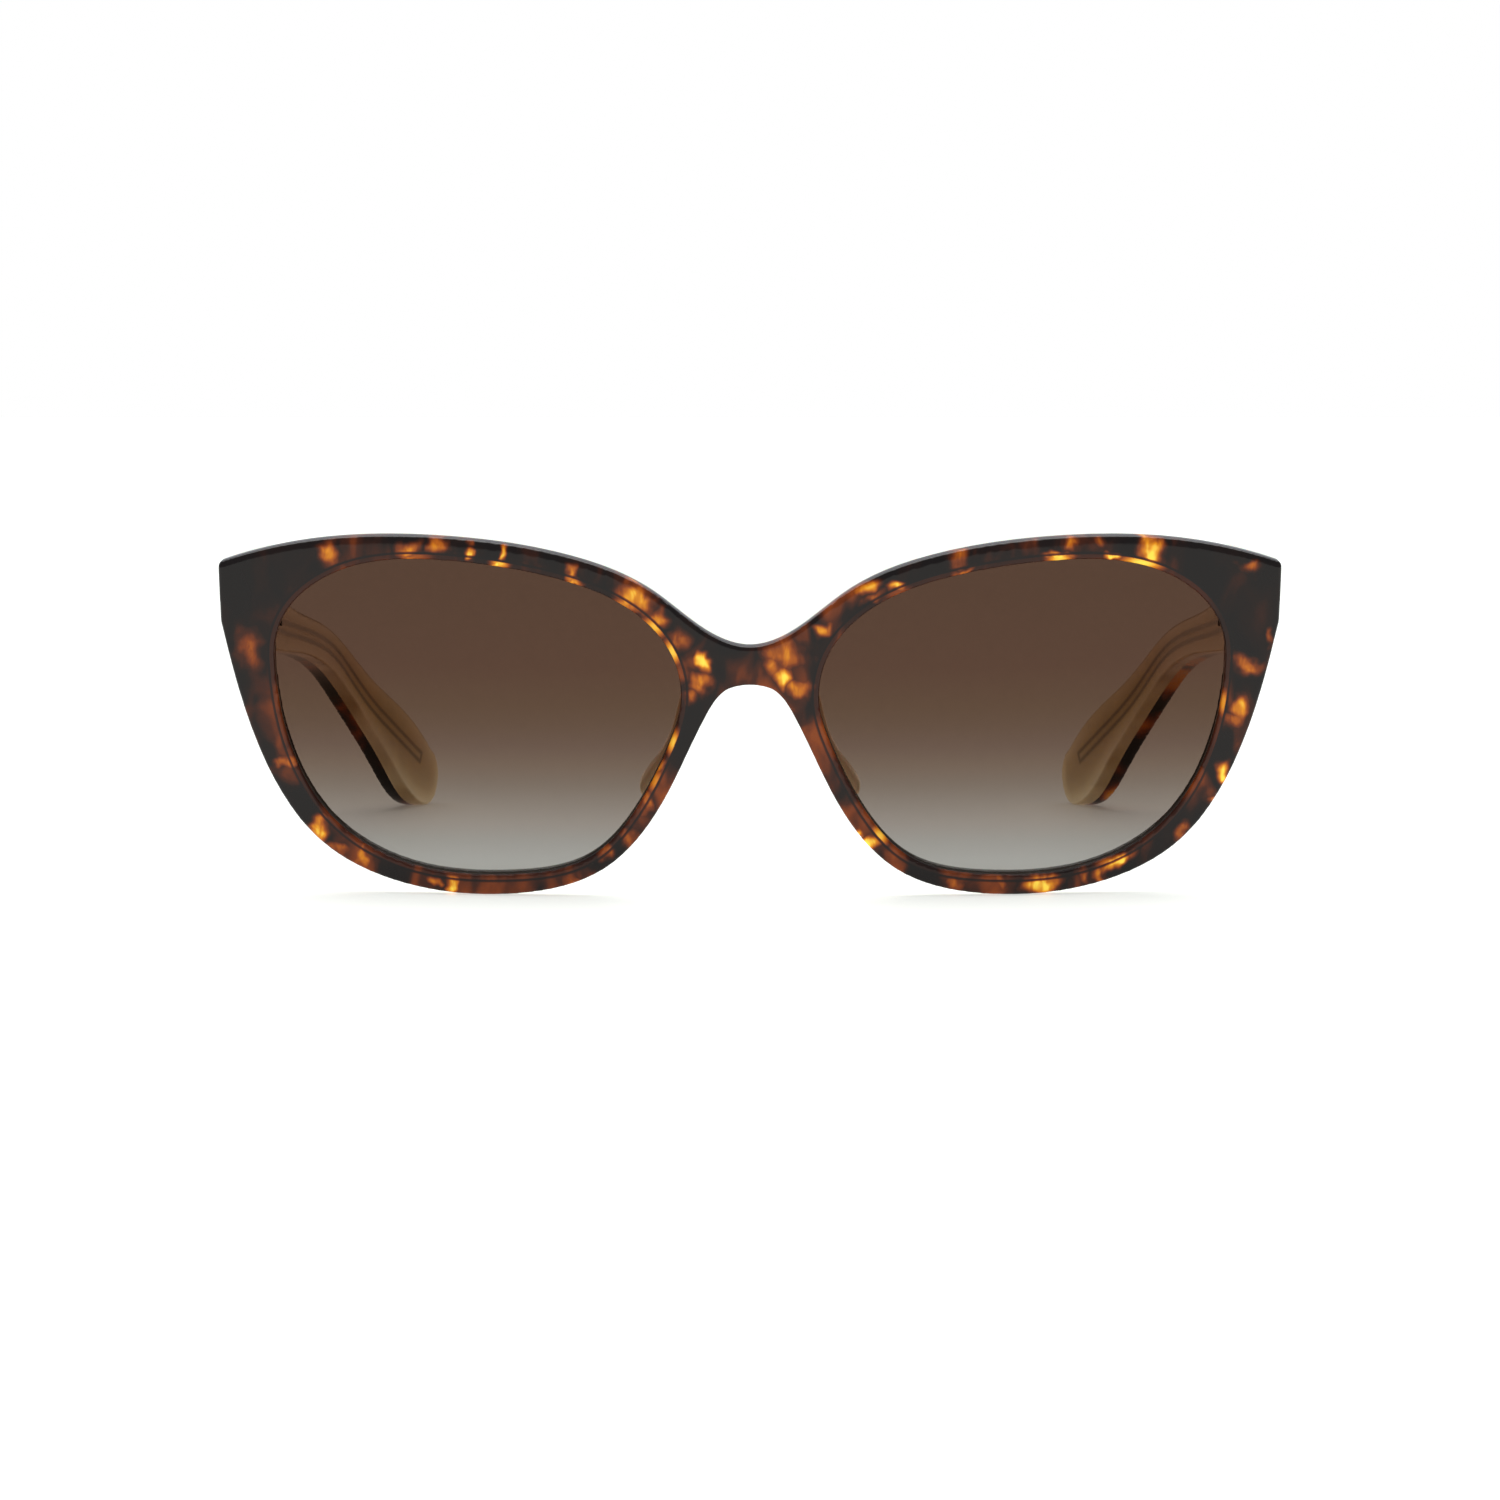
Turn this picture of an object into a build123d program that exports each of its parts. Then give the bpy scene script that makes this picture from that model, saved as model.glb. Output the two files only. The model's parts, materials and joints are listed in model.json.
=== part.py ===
from build123d import *
import os
from math import asin, atan2, cos, degrees, radians, sin, sqrt

os.makedirs("parts", exist_ok=True)

# Cat eye sunglasses: a laminated acetate front, two tinted lenses and two hinged temples.
# The front faces -Y and stands on its lower rims, with the temples open behind it and their tips on
# the same surface, Z = 0. +X is to the right when the front is looked at. Sizes are in millimetres.
# Each pair is drawn on the +X side and made on both by multiplying across by the side's sign.

SIDES = {"left": -1, "right": 1}

# --- the front ---------------------------------------------------------------------------------
FRONT_Y = -67.32  # the front's own origin, which puts the middle of the whole length at Y = 0
FRONT_RISE = 1.95  # height of that origin, which puts the lowest rim on Z = 0
LEAN = radians(4)  # how far the top of the front leans towards -Y
FACE_R = 240.0  # radius of the front's curved face
FACE_MID = 24.0  # height of the curve's centre above the front's origin
SHELL_T = 2.6  # thickness of the tortoise layer
FRONT_T = 5.0  # thickness of both layers together at the bridge
BACK_R = 272.0  # radius of the back face, flatter than the front, so the ends are thinner
BLANK_T = 40.0  # depth of the block that each outline is cut from
CORNER_R = 0.6  # rounding of the end pieces' corners, seen from the front

# Right half of the outline, outwards from the middle, as (across, up) from the front's origin.
BROW = [(0, 30.9), (4.6, 32.2), (12.4, 37.8), (24, 42.5), (39.6, 44.6), (55.4, 44.1), (69.5, 40.6)]
ARCH = [(0, 25.9), (3.1, 25.2), (5.5, 22.2), (10.4, 12.1), (19, 1.5)]
CHEEK = [(31.5, -2.1), (44, -1.3), (56.2, 4.3), (63.5, 14.7), (67.2, 25.1), (69.2, 33)]

# Right lens opening, all the way round from its outermost point over the top.
OPENING = [(62, 28), (59.9, 35.2), (53.5, 39.9), (39.3, 41.6), (26.3, 39.8), (14.8, 35.1)]
OPENING += [(9.9, 29.3), (9, 23), (10.6, 17.8), (14.5, 10.1), (20.7, 3.2), (31.5, 0.6), (44.8, 1.8)]
OPENING += [(55, 8), (60.9, 20)]

# --- the lenses --------------------------------------------------------------------------------
LENS_R = 150.0  # base curve
LENS_T = 1.8
LENS_MID = (35.5, 22.0)  # where the lens's axis crosses the front
LENS_SET = 0.8  # how far the lens lies behind the rim's face there
GROOVE = 0.6  # how far the lens reaches into the rim

# --- the nose pads -----------------------------------------------------------------------------
PAD = [(8.9, 26.6), (7.9, 23.8), (9.0, 18.6), (11.4, 12.8), (13.8, 9.6)]  # down the side by the nose
PAD += [(15.0, 10.6), (12.9, 14.9), (10.6, 20.4), (9.9, 24.6)]  # up the side by the lens
PAD_DEPTH = 11.0  # how far the pad's back is behind the front's face

# --- the hinges --------------------------------------------------------------------------------
MITRE_Y = 12.5  # flat back of each end piece, behind the front's origin
BLOCK = (62.4, 33.4)  # inner and lower limits of the block behind each end piece
BARREL_R = 1.35
BARREL_GAP = 0.1  # between the barrel and the end piece, and between one knuckle and the next
HINGE_X = 63.7
HINGE_Y = MITRE_Y + BARREL_R + BARREL_GAP
KNUCKLE_H = 1.2
KNUCKLES = 5
KNUCKLE_PITCH = KNUCKLE_H + BARREL_GAP
BARREL_LOW = 34.8
BARREL_H = KNUCKLES * KNUCKLE_PITCH - BARREL_GAP
SCREW_R = 0.7
SCREW_FIT = 0.02  # radial clearance in the front's knuckles
RUNNING_FIT = 0.05  # radial clearance in the temple's knuckles
HEAD_R = 1.05
HEAD_H = 0.5
SLOT_W = 0.3
LEAF_T = 0.9
FRONT_LEAF_W = 4.6
LEAF_SET = 1.2  # depth of the front leaf under the end piece's back
WEB_W = 1.6
TEMPLE_LEAF_L = 10.5
TEMPLE_LEAF_H = 4.2

# --- the temples -------------------------------------------------------------------------------
TEMPLE_GAP = 0.1  # between the end piece and the temple, when open
TEMPLE_FRONT = MITRE_Y + TEMPLE_GAP
INNER_T = 1.9  # crystal layer
OUTER_T = 2.1  # tortoise layer

# Side view, as (behind the front's origin, up): along the top, round the tip and back below.
TEMPLE_TOP = [(TEMPLE_FRONT, 42.6), (30, 39.3), (56, 34.7), (85, 31), (103, 26.5), (113, 21.1)]
TEMPLE_TOP += [(124, 15.4), (133.8, 8.6)]
TEMPLE_TIP = (136.6, 3.5)
TEMPLE_LOW = [(131.2, 0.12), (127, 1.6), (119.8, 7.5), (112, 14), (100.6, 21.2), (85, 25.3), (72.4, 27)]
TEMPLE_LOW += [(38, 29.8), (TEMPLE_FRONT, 33.6)]

# Plan view of the right temple's inner face, as (across, behind the front's origin).
SPREAD = [(65.3, TEMPLE_FRONT), (64.2, 45), (62.3, 85), (60.2, 103), (54.6, 120), (48.2, 138.5)]

# --- the core wires and the tip inlays ---------------------------------------------------------
WIRE = [(24.5, 36), (56, 31.5), (85, 28.1), (101, 24), (111.5, 17.8), (121.5, 12), (129.5, 7.6)]
WIRE_H = 1.4
WIRE_T = 0.8
WIRE_IN = 0.6  # how deep it lies under the temple's inner face
INLAY_AT = (50.55, 131.6, 4.6)  # across, behind the front's origin, up
INLAY_R = 1.5
INLAY_T = 0.4
INLAY_PROUD = 0.05

FRONT = Plane((0, FRONT_Y, FRONT_RISE), x_dir=(1, 0, 0), z_dir=(0, -cos(LEAN), -sin(LEAN)))
PLAN = Plane((0, FRONT_Y, 0))
SIDE_VIEW = Plane((0, FRONT_Y, 0), x_dir=(0, 1, 0), z_dir=(1, 0, 0))


def face_ball(radius, set_back=0.0):
    """A ball that holds everything behind a curved face of this radius, set back from the front's face."""
    with BuildPart(mode=Mode.PRIVATE) as ball:
        with Locations(FRONT.location * Pos(0, FACE_MID, -radius - set_back)):
            Sphere(radius, rotation=(90, 0, 0))
    return ball.part


def lens_ball(side, inset=0.0):
    """The ball whose surface is a lens's outer face, or its inner face when inset by its thickness."""
    across, up = LENS_MID
    tilt = asin(across / FACE_R)
    face = sqrt(FACE_R**2 - across**2 - (up - FACE_MID) ** 2) - FACE_R
    centre = (side * (across - LENS_R * sin(tilt)), up, face - LENS_SET - LENS_R * cos(tilt))
    with BuildPart(mode=Mode.PRIVATE) as ball:
        with Locations(FRONT.location * Pos(*centre)):
            Sphere(LENS_R - inset, rotation=(90, 0, 0))
    return ball.part


def both_halves(half):
    """A right half's points with their mirror images, from the left end to the right one."""
    return [(-across, up) for across, up in half[:0:-1]] + half


def front_blank():
    """The front's outline, cut right through a thick block."""
    with BuildPart(mode=Mode.PRIVATE) as blank:
        with BuildSketch(FRONT):
            with BuildLine():
                top = Spline(*both_halves(BROW))
                low = Spline(*both_halves(ARCH + CHEEK))
                for end in (0, 1):
                    Line(top @ end, low @ end)
            make_face()
            fillet(vertices(), CORNER_R)
        extrude(amount=BLANK_T / 2, both=True)
    return blank.part


def grown(ring, side, grow=0.0):
    """A closed ring's points on one side, each moved out across the line between its neighbours."""
    moved = []
    for before, (across, up), after in zip(ring[-1:] + ring[:-1], ring, ring[1:] + ring[:1]):
        along = Vector(after[0] - before[0], after[1] - before[1]).normalized()
        moved.append((side * (across + grow * along.Y), up - grow * along.X))
    return moved


def opening_blank(side, grow=0.0):
    """One lens opening, grown by the depth of the groove when it is for the lens itself."""
    with BuildPart(mode=Mode.PRIVATE) as blank:
        with BuildSketch(FRONT):
            with BuildLine():
                Spline(*grown(OPENING, side, grow), periodic=True)
            make_face()
        extrude(amount=BLANK_T / 2, both=True)
    return blank.part


def make_lens(name, side):
    """A tinted lens, with an edge that reaches into the rim's groove."""
    with BuildPart() as lens:
        add(opening_blank(side, GROOVE))
        add(lens_ball(side), mode=Mode.INTERSECT)
        add(lens_ball(side, LENS_T), mode=Mode.SUBTRACT)
    lens.part.label = f"lens_{name}"
    return lens.part


def make_front_rim(lenses):
    """The tortoise layer, with the grooves that the lenses snap into."""
    with BuildPart() as front_rim:
        add(front_blank())
        add(face_ball(FACE_R), mode=Mode.INTERSECT)
        add(face_ball(FACE_R - SHELL_T, SHELL_T), mode=Mode.SUBTRACT)
        for side in SIDES.values():
            add(opening_blank(side), mode=Mode.SUBTRACT)
        for lens in lenses:
            add(lens, mode=Mode.SUBTRACT)
    front_rim.part.label = "front_rim"
    return front_rim.part


def back_cut():
    """What is cut away behind the front: all but the flat-backed blocks that hold the hinges."""
    inner, low = BLOCK
    with BuildPart(mode=Mode.PRIVATE) as cut:
        add(face_ball(BACK_R, FRONT_T))
        for side in SIDES.values():
            across = side * (inner + BLANK_T / 2)
            with Locations((across, FRONT_Y + MITRE_Y - BLANK_T / 2, low + BLANK_T / 2)):
                Box(BLANK_T, BLANK_T, BLANK_T, mode=Mode.SUBTRACT)
    return cut.part


def make_front_lining(lenses, hinges):
    """The pale layer behind the tortoise one, thicker at the bridge and at the end pieces."""
    with BuildPart() as front_lining:
        add(front_blank())
        add(face_ball(FACE_R - SHELL_T, SHELL_T), mode=Mode.INTERSECT)
        add(back_cut(), mode=Mode.SUBTRACT)
        for side in SIDES.values():
            add(opening_blank(side), mode=Mode.SUBTRACT)
        for piece in lenses + hinges:
            add(piece, mode=Mode.SUBTRACT)
    front_lining.part.label = "front_lining"
    return front_lining.part


def make_nose_pad(name, side):
    """A pale pad, glued behind the nasal side of one rim."""
    with BuildPart() as pad:
        with BuildSketch(FRONT.offset(-SHELL_T)):
            with BuildLine():
                Spline(*grown(PAD, side), periodic=True)
            make_face()
        extrude(amount=SHELL_T - PAD_DEPTH)
        add(face_ball(BACK_R, FRONT_T), mode=Mode.INTERSECT)
    pad.part.label = f"nose_pad_{name}"
    return pad.part


def knuckle_heights(first):
    """The lower ends of every second knuckle, starting with this one."""
    return [BARREL_LOW + i * KNUCKLE_PITCH for i in range(first, KNUCKLES, 2)]


def make_front_hinge(name, side):
    """The hinge half in the end piece: three knuckles on a leaf that is sunk into the block."""
    leaf_y = MITRE_Y - LEAF_SET - LEAF_T
    web_l = HINGE_Y - leaf_y
    with BuildPart() as hinge:
        with Locations((side * HINGE_X, FRONT_Y + leaf_y + LEAF_T / 2, BARREL_LOW + BARREL_H / 2)):
            Box(FRONT_LEAF_W, LEAF_T, BARREL_H)
        for low in knuckle_heights(0):
            with Locations((side * HINGE_X, FRONT_Y + HINGE_Y - web_l / 2, low + KNUCKLE_H / 2)):
                Box(WEB_W, web_l, KNUCKLE_H)
            with Locations((side * HINGE_X, FRONT_Y + HINGE_Y, low + KNUCKLE_H / 2)):
                Cylinder(BARREL_R, KNUCKLE_H)
        with Locations((side * HINGE_X, FRONT_Y + HINGE_Y, BARREL_LOW + BARREL_H / 2)):
            Cylinder(SCREW_R + SCREW_FIT, BARREL_H, mode=Mode.SUBTRACT)
    hinge.part.label = f"front_hinge_{name}"
    return hinge.part


def make_temple_hinge(name, side):
    """The hinge half in the temple: two knuckles on a leaf that is sunk into the crystal layer."""
    leaf_x = SPREAD[0][0] + (INNER_T - LEAF_T) / 2
    web_l = leaf_x + LEAF_T - HINGE_X
    with BuildPart() as hinge:
        with Locations(
            (
                side * (leaf_x + LEAF_T / 2),
                FRONT_Y + HINGE_Y + TEMPLE_LEAF_L / 2,
                BARREL_LOW + BARREL_H / 2,
            )
        ):
            Box(LEAF_T, TEMPLE_LEAF_L, TEMPLE_LEAF_H)
        for low in knuckle_heights(1):
            with Locations(
                (side * (HINGE_X + web_l / 2), FRONT_Y + HINGE_Y + WEB_W / 2, low + KNUCKLE_H / 2)
            ):
                Box(web_l, WEB_W, KNUCKLE_H)
            with Locations((side * HINGE_X, FRONT_Y + HINGE_Y, low + KNUCKLE_H / 2)):
                Cylinder(BARREL_R, KNUCKLE_H)
        with Locations((side * HINGE_X, FRONT_Y + HINGE_Y, BARREL_LOW + BARREL_H / 2)):
            Cylinder(SCREW_R + RUNNING_FIT, BARREL_H, mode=Mode.SUBTRACT)
    hinge.part.label = f"temple_hinge_{name}"
    return hinge.part


def make_hinge_screw(name, side):
    """A slotted screw down through all five knuckles."""
    with BuildPart() as screw:
        with BuildSketch(Plane((side * HINGE_X, FRONT_Y + HINGE_Y, BARREL_LOW))):
            Circle(SCREW_R)
        extrude(amount=BARREL_H)
        with BuildSketch(Plane((side * HINGE_X, FRONT_Y + HINGE_Y, BARREL_LOW + BARREL_H))):
            Circle(HEAD_R)
        extrude(amount=HEAD_H)
        with BuildSketch(Plane((side * HINGE_X, FRONT_Y + HINGE_Y, BARREL_LOW + BARREL_H + HEAD_H))):
            Rectangle(2 * HEAD_R, SLOT_W)
        extrude(amount=-HEAD_H / 2, mode=Mode.SUBTRACT)
    screw.part.label = f"hinge_screw_{name}"
    return screw.part


def temple_slab(side, inner, outer):
    """One layer of a temple, between two distances from its inner face."""
    near = [(side * (across + inner), behind) for across, behind in SPREAD]
    far = [(side * (across + outer), behind) for across, behind in SPREAD]
    with BuildPart(mode=Mode.PRIVATE) as slab:
        with BuildSketch(SIDE_VIEW):
            with BuildLine():
                Spline(*TEMPLE_TOP)
                ThreePointArc(TEMPLE_TOP[-1], TEMPLE_TIP, TEMPLE_LOW[0])
                Spline(*TEMPLE_LOW)
                Line(TEMPLE_LOW[-1], TEMPLE_TOP[0])
            make_face()
        extrude(amount=2 * HINGE_X, both=True)
        with BuildSketch(PLAN):
            with BuildLine():
                Spline(*near)
                Spline(*far)
                Line(near[0], far[0])
                Line(near[-1], far[-1])
            make_face()
        extrude(amount=BLANK_T + TEMPLE_TOP[0][1], both=True, mode=Mode.INTERSECT)
    return slab.part


def make_temple_outer(name, side):
    """The tortoise layer of a temple, rounded along its outer edges."""
    with BuildPart() as temple:
        add(temple_slab(side, INNER_T, INNER_T + OUTER_T))
    temple.part.label = f"temple_outer_{name}"
    return temple.part


def make_core_wire(name, side):
    """The flat metal wire that stiffens a temple and is seen through its crystal layer."""
    near = [(side * (across + WIRE_IN), behind) for across, behind in SPREAD]
    far = [(side * (across + WIRE_IN + WIRE_T), behind) for across, behind in SPREAD]
    with BuildPart() as wire:
        with BuildSketch(SIDE_VIEW):
            with BuildLine():
                Spline(*WIRE)
            trace(line_width=WIRE_H)
        extrude(amount=2 * HINGE_X, both=True)
        with BuildSketch(PLAN):
            with BuildLine():
                Spline(*near)
                Spline(*far)
                Line(near[0], far[0])
                Line(near[-1], far[-1])
            make_face()
        extrude(amount=BLANK_T + TEMPLE_TOP[0][1], both=True, mode=Mode.INTERSECT)
    wire.part.label = f"core_wire_{name}"
    return wire.part


def make_tip_inlay(name, side):
    """A plain round metal inlay near the tip, on the temple's inner face."""
    across, behind, up = INLAY_AT
    run = (SPREAD[-1][0] - SPREAD[-2][0], SPREAD[-1][1] - SPREAD[-2][1])
    turn = atan2(-run[0], run[1])
    face = Plane(
        (side * across, FRONT_Y + behind, up), z_dir=(-side * cos(turn), -sin(turn), 0)
    )
    with BuildPart() as inlay:
        with BuildSketch(face.offset(INLAY_PROUD)):
            Circle(INLAY_R)
        extrude(amount=-INLAY_T)
    inlay.part.label = f"tip_inlay_{name}"
    return inlay.part


def make_temple_inner(name, side, inside):
    """The crystal layer of a temple, with room for what lies inside it."""
    with BuildPart() as temple:
        add(temple_slab(side, 0, INNER_T))
        for piece in inside:
            add(piece, mode=Mode.SUBTRACT)
    temple.part.label = f"temple_inner_{name}"
    return temple.part


pieces = []
lenses = [make_lens(name, side) for name, side in SIDES.items()]
front_hinges = [make_front_hinge(name, side) for name, side in SIDES.items()]
pieces.append(make_front_rim(lenses))
pieces.append(make_front_lining(lenses, front_hinges))
pieces += lenses + front_hinges
for name, side in SIDES.items():
    hinge = make_temple_hinge(name, side)
    wire = make_core_wire(name, side)
    inlay = make_tip_inlay(name, side)
    pieces.append(make_nose_pad(name, side))
    pieces.append(make_hinge_screw(name, side))
    pieces.append(make_temple_outer(name, side))
    pieces.append(make_temple_inner(name, side, [hinge, wire, inlay]))
    pieces += [hinge, wire, inlay]

for piece in pieces:
    export_step(piece, f"parts/{piece.label}.step")
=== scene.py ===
"""Cat eye sunglasses: a polished laminated acetate front, gradient lenses and folding temples.

Sizes in the classes are in millimetres, and meshes are in metres, in the part's own frame: the
front faces -Y and stands on its lower rims at Z = 0, with +X to its right when it is looked at.
"""

import json
import logging
import math
from collections.abc import Sequence
from dataclasses import dataclass, field
from enum import Enum
import bpy
import numpy as np
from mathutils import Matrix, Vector
from mathutils.kdtree import KDTree

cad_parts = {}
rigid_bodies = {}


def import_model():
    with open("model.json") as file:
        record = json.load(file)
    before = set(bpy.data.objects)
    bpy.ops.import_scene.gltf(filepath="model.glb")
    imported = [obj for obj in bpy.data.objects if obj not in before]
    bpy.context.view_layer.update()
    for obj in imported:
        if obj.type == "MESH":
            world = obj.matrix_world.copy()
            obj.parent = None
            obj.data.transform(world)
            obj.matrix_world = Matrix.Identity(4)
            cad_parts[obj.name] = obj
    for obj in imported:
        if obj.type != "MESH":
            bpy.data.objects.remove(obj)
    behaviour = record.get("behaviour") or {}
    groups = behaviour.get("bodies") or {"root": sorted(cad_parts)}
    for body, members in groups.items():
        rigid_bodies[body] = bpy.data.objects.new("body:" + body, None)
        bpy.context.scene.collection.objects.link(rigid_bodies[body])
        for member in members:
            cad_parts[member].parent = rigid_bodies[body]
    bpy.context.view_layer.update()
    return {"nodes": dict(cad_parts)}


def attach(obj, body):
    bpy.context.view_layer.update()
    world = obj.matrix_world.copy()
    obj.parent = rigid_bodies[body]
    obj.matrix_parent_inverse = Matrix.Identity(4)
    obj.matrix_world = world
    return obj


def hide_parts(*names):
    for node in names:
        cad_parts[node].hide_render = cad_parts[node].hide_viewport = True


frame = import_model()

MM = 0.001
SAME_FACE = math.cos(math.radians(25))  # two facets at less than this angle are one curved face
MERGE = 0.001  # corners of CAD triangles closer than this are one point
ON_FACE = 0.08  # how far a point may be from the curved face and still be on it
SAMPLE_STEP = 0.3  # distance between the points that stand for an edge
LOG = logging.getLogger("sunglasses")

Colour = tuple[float, float, float, float]
Source = bpy.types.Node | bpy.types.NodeSocket


class Side(Enum):
    """The two sides of the pair, with the sign of X there."""

    LEFT = -1
    RIGHT = 1

    @property
    def label(self) -> str:
        """The side's name as the part's own nodes spell it."""
        return self.name.lower()


class Layer(Enum):
    """The two layers that a laminated piece is split into."""

    OUTSIDE = "DIFFERENCE"
    INSIDE = "INTERSECT"


def srgb(colour: str) -> Colour:
    """Turns an sRGB hex colour to linear.

    Args:
        colour: six hex digits after a hash.

    Returns:
        Linear red, green and blue, with alpha 1.
    """
    parts = [int(colour[i : i + 2], 16) / 255 for i in (1, 3, 5)]
    linear = [c / 12.92 if c <= 0.04045 else ((c + 0.055) / 1.055) ** 2.4 for c in parts]
    return (linear[0], linear[1], linear[2], 1.0)


def add_node(
    tree: bpy.types.NodeTree,
    kind: str,
    settings: dict[str | int, object] | None = None,
    links: dict[str | int, Source] | None = None,
) -> bpy.types.Node:
    """Adds a node with its settings and links.

    Args:
        tree: the node tree to add it to.
        kind: the node's type name.
        settings: property names, or input names or numbers, with their values. A colour ramp has
            "stops", with each stop's place from 0 to 1 and its colour, in order.
        links: input names or numbers, with the outputs that feed them, or the nodes whose first
            outputs do.

    Returns:
        The new node.
    """
    node = tree.nodes.new(kind)
    for key, value in (settings or {}).items():
        if key == "stops":
            stops = node.color_ramp.elements
            while len(stops) < len(value):
                stops.new(1.0)
            for stop, (place, colour) in zip(stops, value):
                stop.position, stop.color = place, colour
        elif isinstance(key, int) or key in node.inputs:
            node.inputs[key].default_value = value
        else:
            setattr(node, key, value)
    for key, source in (links or {}).items():
        output = source.outputs[0] if isinstance(source, bpy.types.Node) else source
        tree.links.new(output, node.inputs[key])
    return node


def new_material(name: str) -> tuple[bpy.types.Material, bpy.types.NodeTree]:
    """Makes a material with an empty node tree.

    Args:
        name: what the material is and how it is finished.

    Returns:
        The material and its tree.
    """
    material = bpy.data.materials.new(name)
    material.use_nodes = True
    material.node_tree.nodes.clear()
    return material, material.node_tree


def millimetres(tree: bpy.types.NodeTree) -> Source:
    """The place on the part, in millimetres, as an output for patterns to read."""
    place = add_node(tree, "ShaderNodeTexCoord").outputs["Object"]
    scale = add_node(
        tree, "ShaderNodeVectorMath", {"operation": "SCALE", "Scale": 1 / MM}, {0: place}
    )
    return scale.outputs[0]


def deselect_all() -> None:
    """Leaves nothing selected, because an operator acts on all that is."""
    for item in bpy.context.view_layer.objects:
        item.select_set(False)


def activate(piece: bpy.types.Object) -> None:
    """Selects one object alone and makes it the active one."""
    deselect_all()
    piece.select_set(True)
    bpy.context.view_layer.objects.active = piece


def apply_modifier(piece: bpy.types.Object, kind: str, **settings: object) -> None:
    """Adds a modifier and applies it.

    Args:
        piece: the object to change.
        kind: the modifier's type.
        settings: the modifier's properties.
    """
    modifier = piece.modifiers.new(kind.lower(), kind)
    for key, value in settings.items():
        setattr(modifier, key, value)
    activate(piece)
    bpy.ops.object.modifier_apply(modifier=modifier.name)


def copy_of(name: str, nodes: Sequence[str]) -> bpy.types.Object:
    """Copies CAD nodes into one new object, whose touching surfaces are still apart.

    Args:
        name: the new object's name.
        nodes: the nodes to copy.

    Returns:
        The new object, which rides on nothing.
    """
    copies = []
    for node in nodes:
        source = frame["nodes"][node]
        copies.append(bpy.data.objects.new(f"{name}.{node}", source.data.copy()))
        bpy.context.scene.collection.objects.link(copies[-1])
    deselect_all()
    for item in copies:
        item.select_set(True)
    bpy.context.view_layer.objects.active = copies[0]
    if len(copies) > 1:
        bpy.ops.object.join()
    piece = bpy.context.view_layer.objects.active
    piece.name = name
    piece.data.name = name
    piece.data.materials.clear()
    return piece


@dataclass(frozen=True)
class TumblePolish:
    """Rounds a piece's edges all over, as days in a tumbling drum with wooden pegs do to acetate.

    Attributes:
        grain: the size of the mesh's faces.
        passes: how many times the surface is smoothed, which sets how round the edges get.
        strength: how much each pass moves the surface.
    """

    grain: float = 0.27
    passes: int = 12
    strength: float = 0.5

    def polish(self, piece: bpy.types.Object) -> None:
        """Merges, remeshes and smooths the piece."""
        apply_modifier(piece, "WELD", merge_threshold=MERGE * MM)
        apply_modifier(piece, "REMESH", mode="VOXEL", voxel_size=self.grain * MM, adaptivity=0)
        apply_modifier(piece, "SMOOTH", factor=self.strength, iterations=self.passes)
        activate(piece)
        bpy.ops.object.shade_smooth()


def split_layer(
    piece: bpy.types.Object, name: str, cutter: bpy.types.Object, layer: Layer
) -> bpy.types.Object:
    """Takes one layer of a laminated piece, on one side of the surface that the layers share.

    Args:
        piece: both layers as one polished body.
        name: the new object's name.
        cutter: a closed body whose surface is the one that the layers share.
        layer: which side of that surface to keep.

    Returns:
        The layer, as its own object.
    """
    part = bpy.data.objects.new(name, piece.data.copy())
    part.data.name = name
    bpy.context.scene.collection.objects.link(part)
    apply_modifier(part, "BOOLEAN", operation=layer.value, object=cutter, solver="MANIFOLD")
    activate(part)
    bpy.ops.object.shade_smooth_by_angle(angle=math.radians(40))
    return part


def edge_points(node: str) -> list[Vector]:
    """Points all along the edges where the faces of a CAD node meet at an angle."""
    copy = copy_of(f"{node}.edges", [node])
    apply_modifier(copy, "WELD", merge_threshold=MERGE * MM)
    normals: dict[tuple[int, int], list[Vector]] = {}
    for polygon in copy.data.polygons:
        for ends in polygon.edge_keys:
            normals.setdefault(ends, []).append(polygon.normal.copy())
    points = []
    for ends, (one, *others) in normals.items():
        if others and one.dot(others[0]) > SAME_FACE:
            continue
        start, end = (copy.data.vertices[i].co.copy() for i in ends)
        steps = max(math.ceil((end - start).length / (SAMPLE_STEP * MM)), 1)
        points += [start.lerp(end, i / steps) for i in range(steps)]
    bpy.data.objects.remove(copy)
    return points


def tree_of(points: Sequence[Vector]) -> KDTree:
    """A search tree of points."""
    tree = KDTree(len(points))
    for number, point in enumerate(points):
        tree.insert(point, number)
    tree.balance()
    return tree


def mark_near(
    piece: bpy.types.Object, name: str, points: Sequence[Vector], reach: float, flat: bool = False
) -> None:
    """Writes on each point of a piece how near some other points are, from 0 to 1.

    Args:
        piece: the object that gets the attribute.
        name: the attribute's name.
        points: the other points.
        reach: how far away the value falls to 0, in millimetres.
        flat: whether distances are seen from the side, so that X doesn't count.
    """
    across = 0.0 if flat else 1.0
    tree = tree_of([Vector((p.x * across, p.y, p.z)) for p in points])
    near = [
        1 - min(tree.find((v.co.x * across, v.co.y, v.co.z))[2] / (reach * MM), 1)
        for v in piece.data.vertices
    ]
    layer = piece.data.attributes.new(name, "FLOAT", "POINT")
    layer.data.foreach_set("value", near)


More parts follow.
